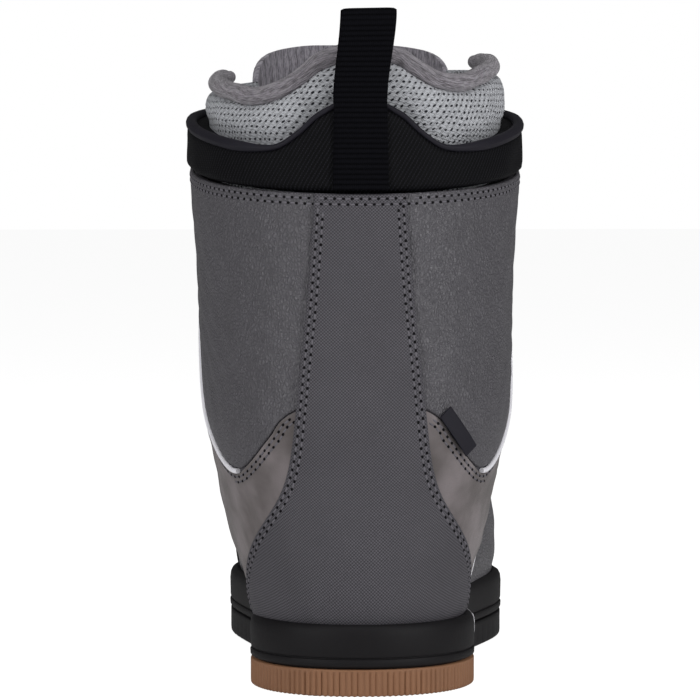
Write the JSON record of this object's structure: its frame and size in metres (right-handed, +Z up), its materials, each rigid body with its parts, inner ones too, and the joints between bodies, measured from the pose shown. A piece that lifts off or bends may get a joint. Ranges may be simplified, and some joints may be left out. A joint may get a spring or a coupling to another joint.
{
  "type": "snowboard boot",
  "caption": "Right-foot snowboard boot with cupsole, leather and woven shell, padded collar, pull loop, opening tongue with a lace dial, and liner.",
  "frame": {"origin": "on the ground under the middle of the boot's bounding box", "axes": "+Z up, +Y from heel to toe, +X towards the outer side of the foot"},
  "size_m": [0.1416, 0.31, 0.281],
  "materials": {
    "gum_rubber": "moulded gum rubber with fine vertical flutes",
    "black_rubber": "matt black rubber foam",
    "leather": "dark grey pebbled synthetic leather, slight sheen",
    "suede": "brushed taupe-grey suede with paler blotches",
    "woven": "dark grey diagonal ballistic weave",
    "piping_white": "smooth off-white piping",
    "black_mesh": "black spacer mesh over foam",
    "black_trim": "black binding",
    "webbing": "black ribbed webbing",
    "liner_mesh": "light grey air mesh over foam",
    "liner_jersey": "dark grey marled jersey",
    "foam": "dark lining over foam",
    "board": "fibre board",
    "steel": "turned steel",
    "plastic": "black moulded plastic",
    "lace": "grey braided lace"
  },
  "bodies": {
    "boot": {"heel_tread": "gum_rubber", "forefoot_tread": "black_rubber", "outsole": "black_rubber", "cupsole": "black_rubber", "toe_bumper": "black_rubber", "shell": "leather", "vamp": "leather", "cuff_quarter_medial": "leather", "cuff_quarter_lateral": "leather", "ankle_band_medial": "suede", "ankle_band_lateral": "suede", "backstay": "woven", "toe_cap": "woven", "eyestay_medial": "woven", "eyestay_lateral": "woven", "sole_badge": "piping_white", "piping_cuff_medial": "piping_white", "piping_cuff_lateral": "piping_white", "piping_band_medial": "piping_white", "piping_band_lateral": "piping_white", "collar": "black_mesh", "collar_piping": "black_trim", "side_label": "black_trim", "footbed": "black_trim", "pull_loop_base": "webbing", "liner_cuff": "liner_mesh", "liner_roll": "liner_jersey", "liner_boot": "foam", "liner_forefoot": "foam", "shell_padding": "foam", "insole_board": "board", "shank": "steel", "heel_counter": "plastic", "lace_guide_medial_1": "plastic", "lace_guide_medial_2": "plastic", "lace_guide_medial_3": "plastic", "lace_guide_medial_4": "plastic", "lace_guide_lateral_1": "plastic", "lace_guide_lateral_2": "plastic", "lace_guide_lateral_3": "plastic", "lace_guide_lateral_4": "plastic", "lace": "lace"},
    "tongue": {"tongue_shell": "leather", "tongue_padding": "foam", "tongue_panel": "woven", "dial_base": "plastic", "dial_housing": "plastic", "dial_axle": "steel"},
    "liner_tongue": {"liner_tongue": "liner_jersey"},
    "dial_carrier": {"dial_bush": "steel"},
    "dial": {"dial_knob": "plastic", "pawl_disc": "plastic"},
    "spool": {"lace_spool": "plastic"},
    "pull_loop": {"pull_loop": "webbing"}
  },
  "joints": [
    {"name": "tongue_open", "type": "hinge", "parent": "boot", "child": "tongue", "pos_m": [0, 0.0512, 0.1045], "axis": [-1, 0, 0], "range_deg": [0, 25], "deforming": ["lace"]},
    {"name": "liner_tongue_open", "type": "hinge", "parent": "boot", "child": "liner_tongue", "pos_m": [0, 0.0512, 0.1045], "axis": [-1, 0, 0], "range_deg": [0, 25]},
    {"name": "dial_pull", "type": "slide", "parent": "tongue", "child": "dial_carrier", "axis": [0, 0.9998, -0.018], "range_m": [0, 0.003]},
    {"name": "dial_turn", "type": "hinge", "parent": "dial_carrier", "child": "dial", "pos_m": [0, 0.01243, 0.20896], "axis": [0, 0.9998, -0.018], "continuous": true},
    {"name": "spool_turn", "type": "hinge", "parent": "tongue", "child": "spool", "pos_m": [0, 0.01243, 0.20896], "axis": [0, 0.9998, -0.018], "continuous": true},
    {"name": "pull_loop_fold", "type": "hinge", "parent": "boot", "child": "pull_loop", "pos_m": [0, -0.1396, 0.2478], "axis": [1, 0, 0], "range_deg": [0, 70]}
  ],
  "couplings": [
    {"joint": "liner_tongue_open", "follows": "tongue_open", "ratio": 1},
    {"joint": "spool_turn", "follows": "dial_turn", "ratio": 1}
  ]
}
